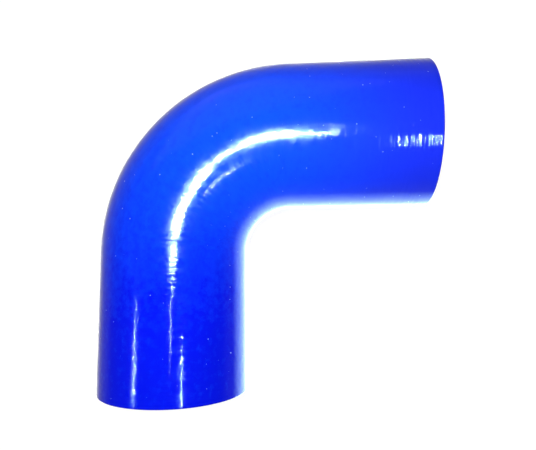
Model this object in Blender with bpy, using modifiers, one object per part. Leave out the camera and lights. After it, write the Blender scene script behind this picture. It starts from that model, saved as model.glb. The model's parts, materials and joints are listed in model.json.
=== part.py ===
"""Ninety degree silicone elbow hose, moulded as one piece and lying on its side.

Metres, +Z up. The origin is on the surface that the hose lies on, under the middle of its box.
The inlet leg runs towards +X and the outlet leg towards -Y. Their bore axes cross at the corner,
and the plane that holds both axes is level, half the outer diameter above the surface.
"""

import math

import bpy
from mathutils import Vector

# Driving dimensions
BORE_DIAMETER = 0.076
WALL = 0.0052
INLET_LEG = 0.150  # from the crossing of the bore axes to the cut face
OUTLET_LEG = 0.150
BEND_RADIUS = 0.070  # of the bore's centreline
BEND_ANGLE = math.radians(90)
EDGE_RADIUS = 0.0008  # worn round on the knife-cut edges of both ends

# How finely the round forms are faceted
BEND_STEPS = 24
PROFILE_STEPS = 22
SIDES = 4 + 2 * PROFILE_STEPS  # a round bevel of a curve has this many sides
EDGE_STEPS = 2
SHARPEST_SMOOTH_ANGLE = math.radians(30)

OUTER_RADIUS = BORE_DIAMETER / 2 + WALL
SILICONE_BLUE = (0.004, 0.045, 0.90, 1.0)


def clear_scene():
    for found in list(bpy.data.objects):
        bpy.data.objects.remove(found)


def silicone():
    """Gloss of a hose cured under a tight film wrap."""
    material = bpy.data.materials.new("blue_silicone")
    material.use_nodes = True
    shader = material.node_tree.nodes["Principled BSDF"]
    shader.inputs["Base Color"].default_value = SILICONE_BLUE
    shader.inputs["Roughness"].default_value = 0.22
    shader.inputs["Metallic"].default_value = 0.0
    shader.inputs["IOR"].default_value = 1.45
    return material


def centreline():
    """Points of the bore's axis from the inlet face to the outlet face, with the corner at zero."""
    tangent_length = BEND_RADIUS * math.tan(BEND_ANGLE / 2)
    bend_centre = Vector((tangent_length, -BEND_RADIUS, 0))
    points = [Vector((INLET_LEG, 0, 0))]
    for step in range(BEND_STEPS + 1):
        turned = math.pi / 2 + BEND_ANGLE * step / BEND_STEPS
        spoke = Vector((math.cos(turned), math.sin(turned), 0))
        points.append(bend_centre + BEND_RADIUS * spoke)
    outlet_way = Vector((-math.cos(BEND_ANGLE), -math.sin(BEND_ANGLE), 0))
    points.append(OUTLET_LEG * outlet_way)
    return points


def outer_skin():
    """The outside of the hose as an open tube, made a mesh from a bevelled curve."""
    curve = bpy.data.curves.new("hose_path", "CURVE")
    curve.dimensions = "3D"
    curve.bevel_depth = OUTER_RADIUS
    curve.bevel_resolution = PROFILE_STEPS
    curve.use_fill_caps = False
    points = centreline()
    spline = curve.splines.new("POLY")
    spline.points.add(len(points) - 1)
    for spline_point, place in zip(spline.points, points):
        spline_point.co = (*place, 1)
        spline_point.tilt = math.pi / SIDES  # turned half a side, so that it lies on a flat
    path = bpy.data.objects.new("hose_path", curve)
    bpy.context.scene.collection.objects.link(path)
    evaluated = path.evaluated_get(bpy.context.evaluated_depsgraph_get())
    skin = bpy.data.meshes.new_from_object(evaluated)
    bpy.data.objects.remove(path)
    return skin


def lay_down(hose):
    """Moves the hose so that the middle of its box's underside is at the origin."""
    corners = [vertex.co for vertex in hose.data.vertices]
    lowest = Vector([min(corner[axis] for corner in corners) for axis in range(3)])
    highest = Vector([max(corner[axis] for corner in corners) for axis in range(3)])
    middle = (lowest + highest) / 2
    hose.location = (-middle.x, -middle.y, -lowest.z)


def elbow_hose(collection):
    skin = outer_skin()
    skin.name = "elbow_hose"
    hose = bpy.data.objects.new("elbow_hose", skin)
    collection.objects.link(hose)
    skin.materials.clear()
    skin.materials.append(silicone())
    lay_down(hose)

    wall = hose.modifiers.new("wall", "SOLIDIFY")
    wall.thickness = WALL
    wall.offset = -1  # inwards from the outer skin
    wall.use_even_offset = True

    cut_edges = hose.modifiers.new("cut_edges", "BEVEL")
    cut_edges.width = EDGE_RADIUS
    cut_edges.segments = EDGE_STEPS
    cut_edges.limit_method = "ANGLE"
    cut_edges.angle_limit = SHARPEST_SMOOTH_ANGLE

    skin.shade_smooth()
    skin.set_sharp_from_angle(angle=SHARPEST_SMOOTH_ANGLE)
    return hose


def main():
    clear_scene()
    collection = bpy.data.collections.new("silicone_elbow_hose")
    bpy.context.scene.collection.children.link(collection)
    elbow_hose(collection)


main()
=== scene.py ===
"""A blue silicone elbow hose lying on its side on a white table, seen from above at close range."""

import json
import math

import bpy
from mathutils import Matrix, Vector


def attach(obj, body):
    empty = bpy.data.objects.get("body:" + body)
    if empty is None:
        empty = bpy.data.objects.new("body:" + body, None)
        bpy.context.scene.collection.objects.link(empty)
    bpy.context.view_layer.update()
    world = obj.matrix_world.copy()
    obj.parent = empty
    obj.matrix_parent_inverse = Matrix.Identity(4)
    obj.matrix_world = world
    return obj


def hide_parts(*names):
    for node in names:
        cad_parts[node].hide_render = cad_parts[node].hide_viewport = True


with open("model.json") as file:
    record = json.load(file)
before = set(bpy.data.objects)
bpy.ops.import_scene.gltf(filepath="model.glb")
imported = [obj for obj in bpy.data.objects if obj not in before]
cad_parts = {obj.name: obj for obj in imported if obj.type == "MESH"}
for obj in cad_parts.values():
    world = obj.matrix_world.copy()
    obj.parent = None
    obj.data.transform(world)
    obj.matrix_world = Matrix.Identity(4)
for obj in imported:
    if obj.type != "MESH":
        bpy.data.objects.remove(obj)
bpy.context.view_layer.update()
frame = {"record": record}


# The camera is a phone held 23 cm above the hose, over the open side of the bend. Its place is
# given from the corner where the bore axes of the two legs cross, which is at the height of the
# outer radius, because the hose lies on its side. The hose is bored for a 76 mm pipe.
BORE_RADIUS = 0.038
WALL = 0.0052
OUTER_RADIUS = BORE_RADIUS + WALL
mounts = {mount["name"]: Vector(mount["pos_m"]) for mount in frame["record"]["mounts"]}
CORNER = Vector((mounts["outlet_end"].x, mounts["inlet_end"].y, OUTER_RADIUS))
CAMERA_FROM_CORNER = Vector((0.0762, -0.0825, 0.2716))
CAMERA_TURN = (math.radians(6.07), math.radians(4.18), math.radians(-0.89))
LENS = 30.44
SENSOR_WIDTH = 36

camera = bpy.data.objects.new("camera", bpy.data.cameras.new("camera"))
bpy.context.scene.collection.objects.link(camera)
bpy.context.scene.camera = camera
camera.location = CORNER + CAMERA_FROM_CORNER
camera.rotation_mode = "ZYX"
camera.rotation_euler = CAMERA_TURN
camera.data.sensor_width = SENSOR_WIDTH
camera.data.lens = LENS
camera.data.clip_start = 0.01


# The hose body is plies of silicone-coated fabric rolled onto a bent mandrel, wrapped tight in
# film tape and cured, so the bore is smooth and the outside keeps the film's gloss and its stretch
# lines. Both ends are trimmed square with a knife and their sharp edges are worn a little round.
INLET_END = Vector((mounts["inlet_end"].x, CORNER.y, CORNER.z))
OUTLET_END = Vector((CORNER.x, mounts["outlet_end"].y, CORNER.z))
BEND_RADIUS = 0.070
EDGE_RADIUS = 0.0008
EDGE_STEPS = 4
SIDES = 180
OUTER_RINGS = 440
BORE_RINGS = 60
BEND_STEPS = 600
JUST_INSIDE = 0.4999  # of the wall from its middle, so that only its two faces lie past it

# Relief left by rolling and taping by hand. Patterns are given per metre, round and along.
HAND_WAVE = 0.00024
HAND_WAVES = (65, 90)
STRETCH_LINE = 0.000030
STRETCH_LINES = (18, 420)
SWELLS = (  # along the axis, round from the outer side, half length, half width, height, abruptness
    (0.0880, math.radians(105.0), 0.0270, 0.0064, -0.00027, 5.0),
    (0.1215, math.radians(103.8), 0.0070, 0.0050, 0.00003, 3.0),
    (0.1570, math.radians(102.8), 0.0275, 0.0064, -0.00027, 12.0),
)


def new_node(tree, kind, sockets=(), **settings):
    """Adds one node and gives its inputs, by name or place, a value or another node's output."""
    node = tree.nodes.new(kind)
    for setting, value in settings.items():
        setattr(node, setting, value)
    for socket, value in dict(sockets).items():
        if isinstance(value, bpy.types.NodeSocket):
            tree.links.new(value, node.inputs[socket])
        else:
            node.inputs[socket].default_value = value
    return node


def math_node(tree, operation, *values, clamp=False):
    sockets = dict(enumerate(values))
    return new_node(tree, "ShaderNodeMath", sockets, operation=operation, use_clamp=clamp).outputs[0]


def vector_node(tree, operation, *values):
    sockets = dict(enumerate(values))
    return new_node(tree, "ShaderNodeVectorMath", sockets, operation=operation).outputs[0]


def smooth_share(tree, value, start, end, most=1.0):
    """Rises smoothly from nought, where the value is at the start, to the most at the end."""
    share = new_node(tree, "ShaderNodeMapRange", {
        "Value": value, "From Min": start, "From Max": end, "To Max": most,
    }, interpolation_type="SMOOTHSTEP")
    return share.outputs[0]


def hose_tree():
    """A closed section outline, turned into a straight hose and then laid along the bent axis."""
    tree = bpy.data.node_groups.new("hose_body", "GeometryNodeTree")
    tree.interface.new_socket("Hose", in_out="OUTPUT", socket_type="NodeSocketGeometry")
    for name, kind in (
        ("Inlet End", "Vector"), ("Corner", "Vector"), ("Outlet End", "Vector"),
        ("Bend Radius", "Float"), ("Bore Radius", "Float"), ("Wall", "Float"),
        ("Edge Radius", "Float"), ("Edge Steps", "Int"), ("Sides", "Int"),
        ("Outer Rings", "Int"), ("Bore Rings", "Int"), ("Bend Steps", "Int"),
        ("Hand Wave", "Float"), ("Stretch Line", "Float"), ("Material", "Material"),
    ):
        tree.interface.new_socket(name, in_out="INPUT", socket_type="NodeSocket" + kind)
    given = tree.nodes.new("NodeGroupInput").outputs

    # The axis: inlet leg, arc, outlet leg
    line = new_node(tree, "GeometryNodeCurvePrimitiveLine", {
        "Start": given["Inlet End"], "End": given["Outlet End"]})
    elbow = new_node(tree, "GeometryNodeResampleCurve", {"Curve": line.outputs[0], "Count": 3})
    index = tree.nodes.new("GeometryNodeInputIndex").outputs[0]
    middle = new_node(tree, "FunctionNodeCompare", {2: index, 3: 1}, data_type="INT", operation="EQUAL")
    elbow = new_node(tree, "GeometryNodeSetPosition", {
        "Geometry": elbow.outputs[0], "Selection": middle.outputs[0],
        "Position": given["Corner"]})
    axis = new_node(tree, "GeometryNodeFilletCurve", {
        "Curve": elbow.outputs[0], "Radius": given["Bend Radius"],
        "Count": given["Bend Steps"]}, mode="POLY")
    length = new_node(tree, "GeometryNodeCurveLength", {0: axis.outputs[0]}).outputs[0]

    # The wall's outline, unrolled: outer side, cut end, bore, cut end
    outline = new_node(tree, "GeometryNodeCurvePrimitiveQuadrilateral", {
        "Width": length, "Height": given["Wall"]})
    outline = new_node(tree, "GeometryNodeFilletCurve", {
        "Curve": outline.outputs[0], "Radius": given["Edge Radius"],
        "Count": given["Edge Steps"]}, mode="POLY")
    position = tree.nodes.new("GeometryNodeInputPosition").outputs[0]
    place = new_node(tree, "ShaderNodeSeparateXYZ", {0: position})
    half_wall = math_node(tree, "MULTIPLY", given["Wall"], JUST_INSIDE)
    outer = math_node(tree, "GREATER_THAN", place.outputs["Y"], half_wall)
    bore = math_node(
        tree, "LESS_THAN", place.outputs["Y"], math_node(tree, "MULTIPLY", half_wall, -1.0))
    ahead = math_node(tree, "GREATER_THAN", place.outputs["X"], 0.0)
    behind = math_node(tree, "SUBTRACT", 1.0, ahead)
    outer_cuts = math_node(
        tree, "MULTIPLY", math_node(tree, "MULTIPLY", outer, ahead), given["Outer Rings"])
    bore_cuts = math_node(
        tree, "MULTIPLY", math_node(tree, "MULTIPLY", bore, behind), given["Bore Rings"])
    outline = new_node(tree, "GeometryNodeSubdivideCurve", {
        "Curve": outline.outputs[0], "Cuts": math_node(tree, "ADD", outer_cuts, bore_cuts)})
    half_length = math_node(tree, "MULTIPLY", length, 0.5)
    station = math_node(tree, "ADD", place.outputs["X"], half_length)
    mid_radius = math_node(tree, "MULTIPLY_ADD", given["Wall"], 0.5, given["Bore Radius"])
    radius = math_node(tree, "ADD", place.outputs["Y"], mid_radius)
    for name, value in (("station", station), ("from_axis", radius)):
        outline = new_node(tree, "GeometryNodeStoreNamedAttribute", {
            "Geometry": outline.outputs[0], "Name": name, "Value": value})
    circle = new_node(tree, "GeometryNodeCurvePrimitiveCircle", {"Resolution": given["Sides"]})
    share = math_node(tree, "DIVIDE", index, given["Sides"])
    circle = new_node(tree, "GeometryNodeStoreNamedAttribute", {
        "Geometry": circle.outputs[0], "Name": "turn", "Value": share})
    hose = new_node(tree, "GeometryNodeCurveToMesh", {
        "Curve": circle.outputs[0], "Profile Curve": outline.outputs[0]})

    # The straight hose's own coordinates, which its finish follows
    station, radius, turn = (
        new_node(tree, "GeometryNodeInputNamedAttribute", {"Name": name}, data_type="FLOAT").outputs[0]
        for name in ("station", "from_axis", "turn"))
    angle = math_node(tree, "MULTIPLY", turn, math.tau)
    cosine = math_node(tree, "COSINE", angle)
    sine = math_node(tree, "SINE", angle)
    straight = new_node(tree, "ShaderNodeCombineXYZ", {
        "X": math_node(tree, "MULTIPLY", radius, cosine),
        "Y": math_node(tree, "MULTIPLY", radius, sine), "Z": station}).outputs[0]
    hose = new_node(tree, "GeometryNodeStoreNamedAttribute", {
        "Geometry": hose.outputs[0], "Name": "straight", "Value": straight,
    }, data_type="FLOAT_VECTOR")

    def noise(pattern, seed):
        around, along = pattern
        stretched = vector_node(tree, "MULTIPLY", straight, (around, around, along))
        node = new_node(tree, "ShaderNodeTexNoise", {
            "Vector": stretched, "W": seed, "Scale": 1.0, "Detail": 2.0}, noise_dimensions="4D")
        return math_node(tree, "SUBTRACT", node.outputs["Fac"], 0.5)

    # What rolling and taping by hand leave: slow waves, stretch lines across, flats and a swell
    waves = math_node(tree, "MULTIPLY", noise(HAND_WAVES, seed=11.0), given["Hand Wave"])
    lines = math_node(tree, "MULTIPLY", noise(STRETCH_LINES, seed=7.0), given["Stretch Line"])
    relief = math_node(tree, "ADD", waves, lines)
    for at, turned, half_length, half_width, height, abrupt in SWELLS:
        down = math_node(tree, "DIVIDE", math_node(tree, "SUBTRACT", station, at), half_length)
        down = math_node(tree, "POWER", math_node(tree, "ABSOLUTE", down), abrupt)
        across = math_node(
            tree, "MULTIPLY", math_node(tree, "SUBTRACT", angle, turned), OUTER_RADIUS / half_width)
        across = math_node(tree, "MULTIPLY", across, across)
        far = math_node(tree, "ADD", down, across)
        near = math_node(tree, "EXPONENT", math_node(tree, "MULTIPLY", far, -1.0))
        relief = math_node(tree, "MULTIPLY_ADD", near, height, relief)
    outer_radius = math_node(tree, "ADD", given["Bore Radius"], given["Wall"])
    below_skin = math_node(tree, "SUBTRACT", outer_radius, given["Edge Radius"])
    past_bore = math_node(tree, "ADD", given["Bore Radius"], given["Edge Radius"])
    on_skin = smooth_share(tree, radius, below_skin, outer_radius)
    in_bore = smooth_share(tree, radius, past_bore, given["Bore Radius"])
    for name, share in (("skin", on_skin), ("bore", in_bore)):
        hose = new_node(tree, "GeometryNodeStoreNamedAttribute", {
            "Geometry": hose.outputs[0], "Name": name, "Value": share})
    radius = math_node(tree, "MULTIPLY_ADD", relief, on_skin, radius)

    # Laid along the axis
    on_axis = new_node(tree, "GeometryNodeSampleCurve", {
        "Curves": axis.outputs[0], "Length": station}, mode="LENGTH")
    side = vector_node(tree, "CROSS_PRODUCT", on_axis.outputs["Tangent"], (0, 0, 1))
    side = vector_node(tree, "NORMALIZE", side)
    out = new_node(tree, "ShaderNodeVectorMath", {
        0: side, "Scale": math_node(tree, "MULTIPLY", radius, cosine)}, operation="SCALE").outputs[0]
    up = new_node(tree, "ShaderNodeCombineXYZ", {
        "Z": math_node(tree, "MULTIPLY", radius, sine)}).outputs[0]
    off_axis = vector_node(tree, "ADD", out, up)
    spot = vector_node(tree, "ADD", on_axis.outputs["Position"], off_axis)
    hose = new_node(tree, "GeometryNodeSetPosition", {"Geometry": hose.outputs[0], "Position": spot})
    hose = new_node(tree, "GeometryNodeFlipFaces", {"Mesh": hose.outputs[0]})
    hose = new_node(tree, "GeometryNodeSetShadeSmooth", {"Geometry": hose.outputs[0]})
    hose = new_node(tree, "GeometryNodeRealizeInstances", {"Geometry": hose.outputs[0]})
    hose = new_node(tree, "GeometryNodeSetMaterial", {
        "Geometry": hose.outputs[0], "Material": given["Material"]})
    tree.links.new(hose.outputs[0], tree.nodes.new("NodeGroupOutput").inputs[0])
    return tree


# Pigment, with painted shade: the blue is painted darker towards the outlet end and duller
# towards the inlet end, between two distances along the axis from the inlet end. This stands for
# the light falling off away from the bend. The blue is also faintly cloudy.
BRIGHT_BLUE = (0.003, 0.059, 0.90, 1.0)
OUTLET_SHADE_BLUE = (0.0006, 0.0055, 0.70, 1.0)
INLET_SHADE_BLUE = (0.0085, 0.025, 0.72, 1.0)
CUT_BLUE = (0.012, 0.060, 0.62, 1.0)
OUTLET_SHADE_SPAN = (0.125, 0.245)
INLET_SHADE_SPAN = (0.10, 0.0)
CLOUDS = (260, 260)
CLOUD_GRAIN = 0.7
CLOUD_LEVEL = 0.48

# Dust and grit under the film, one speck or none to a square patch of skin. Each speck is raised,
# and is also painted pale as a painted glint.
DUST_AND_GLINT_SPECK = (0.30, 0.50, 0.95, 1.0)
SPECK_CELL = 0.0075
SPECK_RADIUS = 0.00036
SPECK_CORE = 0.6  # of the speck's radius
SPECK_HEIGHT = 0.000030
BARE_PATCHES = 0.7  # of all patches

# Gloss. The film lay smoothest at both ends.
SKIN_ROUGHNESS = (0.125, 0.235)
BORE_ROUGHNESS = (0.28, 0.42)
CUT_ROUGHNESS = (0.50, 0.72)
STREAKS = (160, 620)
STREAK_SHARE = 0.8
STREAK_RANGE = (0.46, 0.53)
GRAIN = (900, 900)
SMOOTH_FILM = (0.078, 0.050)
LAST_WRAP = (0.185, 0.212)
SMOOTHING = 0.45

# Relief too fine for the mesh: heights, and patterns per metre round and along
FIRST_WRAP = (0.045, 0.018)
FILM_LINE = 0.000036
FILM_LINES = (70, 420)
FIRST_WRAP_LINE = 0.00013
FIRST_WRAP_LINES = (50, 560)
LAST_WRAP_LINE = 0.000045
LAST_WRAP_LINES = (220, 900)
CREASE = 0.000012
CREASES = (200, 600)
CREASE_RANGE = (0.62, 0.72)
PEBBLE = 0.000030
PEBBLES = (420, 420)
LAST_WRAP_PEBBLE = 0.8  # more than elsewhere
MANDREL_LINE = 0.000018
MANDREL_LINES = (420, 22)
KNIFE_LINE = 0.000040
KNIFE_LINES = (2200, 60)  # per metre out from the axis and across

FINISH = {
    "IOR": 1.33,
    "Specular Tint": (0.42, 0.84, 1.0, 1.0),
    "Coat Weight": 0.35,
    "Coat Roughness": 0.05,
    "Coat IOR": 1.3,
    "Sheen Weight": 1.0,
    "Sheen Roughness": 0.2,
}


def silicone_material():
    """Glossy pigmented rubber: tape marks, grit specks painted pale as glints, painted shade at both
    ends, matt cut end.
    """
    material = bpy.data.materials.new("blue_silicone")
    material.use_nodes = True
    tree = material.node_tree
    shader = tree.nodes["Principled BSDF"]
    straight = new_node(tree, "ShaderNodeAttribute", attribute_name="straight").outputs["Vector"]
    skin = new_node(tree, "ShaderNodeAttribute", attribute_name="skin").outputs["Fac"]
    bore = new_node(tree, "ShaderNodeAttribute", attribute_name="bore").outputs["Fac"]
    along = new_node(tree, "ShaderNodeSeparateXYZ", {0: straight}).outputs["Z"]
    cut = math_node(tree, "SUBTRACT", 1.0, math_node(tree, "ADD", skin, bore), clamp=True)
    first_wrap = smooth_share(tree, along, *FIRST_WRAP)
    last_wrap = smooth_share(tree, along, *LAST_WRAP)

    def noise(pattern, seed, detail=0.0, roughness=0.5):
        across, down = pattern
        stretched = vector_node(
            tree, "MULTIPLY_ADD", straight, (across, across, down), (seed, seed, seed))
        return new_node(tree, "ShaderNodeTexNoise", {
            "Vector": stretched, "Scale": 1.0, "Detail": detail, "Roughness": roughness,
        }).outputs["Fac"]

    def blend(share, first, second):
        mix = new_node(tree, "ShaderNodeMix", {0: share, 2: first, 3: second}, data_type="FLOAT")
        return mix.outputs[0]

    def blend_colour(share, first, second):
        mix = new_node(tree, "ShaderNodeMix", {0: share, 6: first, 7: second}, data_type="RGBA")
        return mix.outputs[2]

    # Specks
    way = new_node(tree, "ShaderNodeSeparateXYZ", {0: straight}).outputs
    angle = math_node(tree, "ARCTAN2", way["Y"], way["X"])
    unrolled = new_node(tree, "ShaderNodeCombineXYZ", {
        "X": math_node(tree, "MULTIPLY", angle, OUTER_RADIUS / SPECK_CELL),
        "Y": math_node(tree, "DIVIDE", along, SPECK_CELL)}).outputs[0]
    patch = new_node(tree, "ShaderNodeTexVoronoi", {
        "Vector": unrolled, "Scale": 1.0}, voronoi_dimensions="2D")
    chance = new_node(tree, "ShaderNodeSeparateXYZ", {0: patch.outputs["Color"]}).outputs["X"]
    over = math_node(tree, "SUBTRACT", chance, BARE_PATCHES)
    reach = math_node(tree, "MULTIPLY", over, SPECK_RADIUS / SPECK_CELL / (1 - BARE_PATCHES))
    core = math_node(tree, "MULTIPLY", reach, SPECK_CORE)
    speck = smooth_share(tree, patch.outputs["Distance"], reach, core)
    speck = math_node(tree, "MULTIPLY", speck, math_node(tree, "GREATER_THAN", reach, 0.0))
    speck = math_node(tree, "MULTIPLY", speck, skin)

    # Colour, with painted shade towards both ends and pale specks that are partly painted glints
    # Painted shade: the blue darkens towards the outlet end and dulls towards the inlet end, away from
    # the light on the bend
    outlet_shade_and_cloud = smooth_share(tree, along, *OUTLET_SHADE_SPAN)
    inlet_shade = smooth_share(tree, along, *INLET_SHADE_SPAN)
    cloud = noise(CLOUDS, seed=1.0, detail=3.0, roughness=CLOUD_GRAIN)
    cloud = math_node(tree, "SUBTRACT", cloud, CLOUD_LEVEL)
    outlet_shade_and_cloud = math_node(tree, "ADD", cloud, outlet_shade_and_cloud, clamp=True)
    colour = blend_colour(outlet_shade_and_cloud, BRIGHT_BLUE, OUTLET_SHADE_BLUE)
    colour = blend_colour(inlet_shade, colour, INLET_SHADE_BLUE)
    # Painted glint: the specks are painted pale, as well as being raised in the relief
    colour = blend_colour(speck, colour, DUST_AND_GLINT_SPECK)
    colour = blend_colour(cut, colour, CUT_BLUE)
    tree.links.new(colour, shader.inputs["Base Color"])

    # Gloss: film smooth, with duller streaks across and duller grain
    fine = math_node(tree, "MULTIPLY", noise(GRAIN, seed=3.0), 1 - STREAK_SHARE)
    streaks = math_node(tree, "MULTIPLY_ADD", noise(STREAKS, seed=0.0), STREAK_SHARE, fine)
    grain = new_node(tree, "ShaderNodeMapRange", {
        "Value": streaks, "From Min": STREAK_RANGE[0], "From Max": STREAK_RANGE[1],
        "To Min": SKIN_ROUGHNESS[0], "To Max": SKIN_ROUGHNESS[1]}).outputs[0]
    smooth_film = math_node(tree, "ADD", smooth_share(tree, along, *SMOOTH_FILM), last_wrap)
    smoother = math_node(tree, "MULTIPLY_ADD", smooth_film, -SMOOTHING, 1.0)
    grain = math_node(tree, "MULTIPLY", grain, smoother)
    flat = vector_node(tree, "MULTIPLY", straight, (1, 1, 0))
    rings = new_node(tree, "ShaderNodeVectorMath", {0: flat}, operation="LENGTH").outputs["Value"]
    turned = new_node(tree, "ShaderNodeCombineXYZ", {
        "X": math_node(tree, "MULTIPLY", rings, KNIFE_LINES[0]),
        "Y": vector_node(tree, "MULTIPLY", straight, (KNIFE_LINES[1], KNIFE_LINES[1], 0))})
    knife = new_node(tree, "ShaderNodeTexNoise", {
        "Vector": turned.outputs[0], "Scale": 1.0, "Detail": 2.0}).outputs["Fac"]
    mandrel = noise(MANDREL_LINES, seed=7.0, detail=2.0)
    bore_grain = blend(mandrel, *BORE_ROUGHNESS)
    cut_grain = blend(knife, *CUT_ROUGHNESS)
    roughness = blend(bore, blend(cut, grain, cut_grain), bore_grain)
    tree.links.new(roughness, shader.inputs["Roughness"])

    # Relief: lines across the hose, creases, pebbled rubber, specks, mandrel lines and knife lines
    lines = math_node(tree, "MULTIPLY", noise(FILM_LINES, seed=4.0), FILM_LINE)
    tight = math_node(tree, "MULTIPLY", noise(FIRST_WRAP_LINES, seed=9.0), FIRST_WRAP_LINE)
    lines = math_node(tree, "MULTIPLY_ADD", tight, first_wrap, lines)
    loose = math_node(tree, "MULTIPLY", noise(LAST_WRAP_LINES, seed=12.0), LAST_WRAP_LINE)
    lines = math_node(tree, "MULTIPLY_ADD", loose, last_wrap, lines)
    crease = smooth_share(tree, noise(CREASES, seed=5.0), *CREASE_RANGE, CREASE)
    lines = math_node(tree, "ADD", lines, crease)
    pebble = math_node(tree, "MULTIPLY", noise(PEBBLES, seed=6.0), PEBBLE)
    past_first = math_node(tree, "SUBTRACT", 1.0, first_wrap)
    coarser = math_node(tree, "MULTIPLY_ADD", last_wrap, LAST_WRAP_PEBBLE, past_first)
    pebble = math_node(tree, "MULTIPLY", pebble, coarser)
    relief = math_node(tree, "MULTIPLY", math_node(tree, "ADD", lines, pebble), skin)
    relief = math_node(tree, "MULTIPLY_ADD", speck, SPECK_HEIGHT, relief)
    in_bore = math_node(tree, "MULTIPLY", mandrel, bore)
    relief = math_node(tree, "MULTIPLY_ADD", in_bore, MANDREL_LINE, relief)
    on_cut = math_node(tree, "MULTIPLY", knife, cut)
    relief = math_node(tree, "MULTIPLY_ADD", on_cut, KNIFE_LINE, relief)
    bump = new_node(tree, "ShaderNodeBump", {"Strength": 1.0, "Distance": 1.0, "Height": relief})
    tree.links.new(bump.outputs[0], shader.inputs["Normal"])
    tree.links.new(bump.outputs[0], shader.inputs["Coat Normal"])
    for socket, value in FINISH.items():
        shader.inputs[socket].default_value = value
    return material


def plain_copy(source, name):
    """The evaluated object as a plain mesh in an object of its own, at the origin."""
    bpy.context.view_layer.update()
    evaluated = source.evaluated_get(bpy.context.evaluated_depsgraph_get())
    copy = bpy.data.objects.new(name, bpy.data.meshes.new_from_object(evaluated))
    bpy.context.scene.collection.objects.link(copy)
    bpy.data.objects.remove(source)
    return copy


def hose_body():
    source = bpy.data.objects.new("hose_form", bpy.data.meshes.new("hose_form"))
    bpy.context.scene.collection.objects.link(source)
    tree = hose_tree()
    form = source.modifiers.new("hose_form", "NODES")
    form.node_group = tree
    items = tree.interface.items_tree
    sockets = {item.name: item.identifier for item in items if item.in_out == "INPUT"}
    for name, value in (
        ("Inlet End", INLET_END), ("Corner", CORNER), ("Outlet End", OUTLET_END),
        ("Bend Radius", BEND_RADIUS), ("Bore Radius", BORE_RADIUS), ("Wall", WALL),
        ("Edge Radius", EDGE_RADIUS), ("Edge Steps", EDGE_STEPS), ("Sides", SIDES),
        ("Outer Rings", OUTER_RINGS), ("Bore Rings", BORE_RINGS), ("Bend Steps", BEND_STEPS),
        ("Hand Wave", HAND_WAVE), ("Stretch Line", STRETCH_LINE),
        ("Material", silicone_material()),
    ):
        form[sockets[name]] = value
    return plain_copy(source, "hose")


hose = hose_body()
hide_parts("elbow_hose")
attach(hose, "root")


# The table is a matt white sheet, wide enough to fill the view. To the camera it is white by
# itself, it shows faintly in the gloss of the hose, and it keeps the hose's shadow.
TABLE_WIDTH = 6.0
TABLE_WHITE = (0.22, 0.22, 0.22, 1.0)
TABLE_GLOW = 0.90
TABLE_GLINT = 0.15


def seen_glow(tree, glint):
    """One to the camera, the glint in gloss and glass, and nought as a light."""
    seen = tree.nodes.new("ShaderNodeLightPath").outputs
    mirrored = math_node(tree, "MAXIMUM", seen["Is Glossy Ray"], seen["Is Transmission Ray"])
    return math_node(tree, "MULTIPLY_ADD", mirrored, glint, seen["Is Camera Ray"])


def table():
    half = TABLE_WIDTH / 2
    corners = [(-half, -half, 0), (half, -half, 0), (half, half, 0), (-half, half, 0)]
    sheet = bpy.data.meshes.new("table")
    sheet.from_pydata(corners, [], [(0, 1, 2, 3)])
    material = bpy.data.materials.new("white_table")
    material.use_nodes = True
    tree = material.node_tree
    tree.nodes.clear()
    matt = new_node(tree, "ShaderNodeBsdfDiffuse", {"Color": TABLE_WHITE})
    strength = math_node(tree, "MULTIPLY", seen_glow(tree, TABLE_GLINT), TABLE_GLOW)
    glow = new_node(tree, "ShaderNodeEmission", {"Strength": strength})
    both = new_node(tree, "ShaderNodeAddShader", {0: matt.outputs[0], 1: glow.outputs[0]})
    new_node(tree, "ShaderNodeOutputMaterial", {"Surface": both.outputs[0]})
    sheet.materials.append(material)
    top = bpy.data.objects.new("table", sheet)
    bpy.context.scene.collection.objects.link(top)


table()


# Three small lamps beside the camera draw the long highlight, its fading tip and its soft edge.
# Three thin tubes far off draw the lines on the legs and inside the bend, a wide soft lamp stands
# behind, and a bluish panel lies in the crook of the bend. Places are given from the corner.
KEY_AIM = (0.02, -0.02, 0.04)
PANEL_BLUE = (0.46, 0.71, 1)


def lamp(name, place, width, power, length=0.0, aim=(0, 0, 0), along=(0, 1, 0), spread=180,
         colour=(1, 1, 1)):
    """A round lamp, or with a length a tube that lies along one direction."""
    light = bpy.data.lights.new(name, "AREA")
    light.shape = "RECTANGLE" if length else "DISK"
    light.size = length or width
    light.size_y = width
    light.energy = power
    light.spread = math.radians(spread)
    light.color = colour
    holder = bpy.data.objects.new(name, light)
    holder.location = CORNER + Vector(place)
    back = (Vector(place) - Vector(aim)).normalized()
    across = Vector(along).cross(back).normalized()
    turn = Matrix((back.cross(across), -across, back)).transposed()
    holder.rotation_mode = "QUATERNION"
    holder.rotation_quaternion = turn.to_quaternion()
    bpy.context.scene.collection.objects.link(holder)


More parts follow.
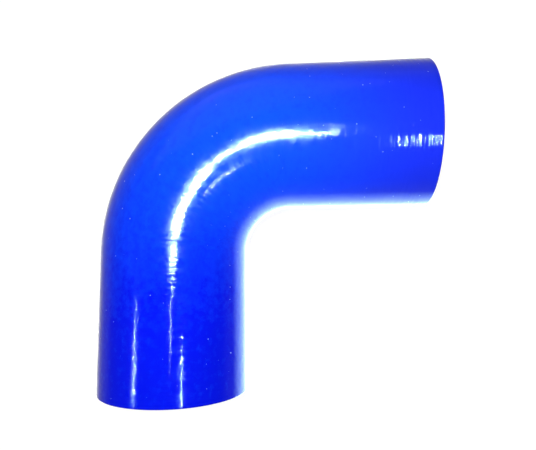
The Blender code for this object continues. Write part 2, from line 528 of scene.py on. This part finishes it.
lamp("beside_camera", (0.058, -0.057, 0.272), width=0.022, power=0.48, length=0.036,
     aim=KEY_AIM, along=(1, 0, 0))
lamp("its_tip", (0.089, -0.057, 0.272), width=0.007, power=0.025, length=0.030,
     aim=(0.100, 0.060, 0.0), along=(1, 0, 0), spread=60)
lamp("its_soft_cover", (0.050, -0.057, 0.271), width=0.062, power=0.13, aim=KEY_AIM)
lamp("overhead_tube", (0.148, -0.13, 0.90), width=0.005, power=0.85, length=0.26)
lamp("right_tube", (0.335, -0.35, 0.71), width=0.0025, power=1.8, length=0.20)
lamp("left_tube", (-0.56, -0.28, 0.60), width=0.003, power=1.2, length=0.22)
lamp("behind", (-0.35, 1.00, 0.62), width=1.2, power=1.9, length=1.2)
lamp("low_panel", (0.118, -0.118, -0.040), width=0.16, power=0.28, length=0.16,
     aim=(0.118, -0.118, 1.0), spread=130, colour=PANEL_BLUE)


# The room has a dim ceiling and walls that are paler low down, most of all behind the bend. What
# the camera sees of it is white.
WALL_GLOW = 0.35
WALL_FADE = 5.0
CEILING_GLOW = 0.045
ROOM_GLINT = 0.10
WALL_LEAN = (0.7, 0.3)  # how much the wall's glow grows towards the back, and its middle
DIMMEST_WALL = 0.2


def room():
    world = bpy.data.worlds.new("room")
    bpy.context.scene.world = world
    world.use_nodes = True
    tree = world.node_tree
    direction = tree.nodes.new("ShaderNodeTexCoord").outputs["Generated"]
    way = new_node(tree, "ShaderNodeSeparateXYZ", {0: direction}).outputs
    level = math_node(tree, "SUBTRACT", 1.0, math_node(tree, "ABSOLUTE", way["Z"]))
    wall = math_node(tree, "POWER", level, WALL_FADE)
    side = math_node(tree, "MULTIPLY_ADD", way["Y"], *WALL_LEAN)
    wall = math_node(tree, "MULTIPLY", wall, math_node(tree, "MAXIMUM", side, DIMMEST_WALL))
    pale = math_node(tree, "MULTIPLY_ADD", wall, WALL_GLOW, CEILING_GLOW)
    strength = math_node(tree, "MAXIMUM", seen_glow(tree, ROOM_GLINT), pale)
    background = tree.nodes["Background"]
    background.inputs["Color"].default_value = (1, 1, 1, 1)
    tree.links.new(strength, background.inputs["Strength"])


room()

bpy.context.scene.view_settings.view_transform = "Standard"
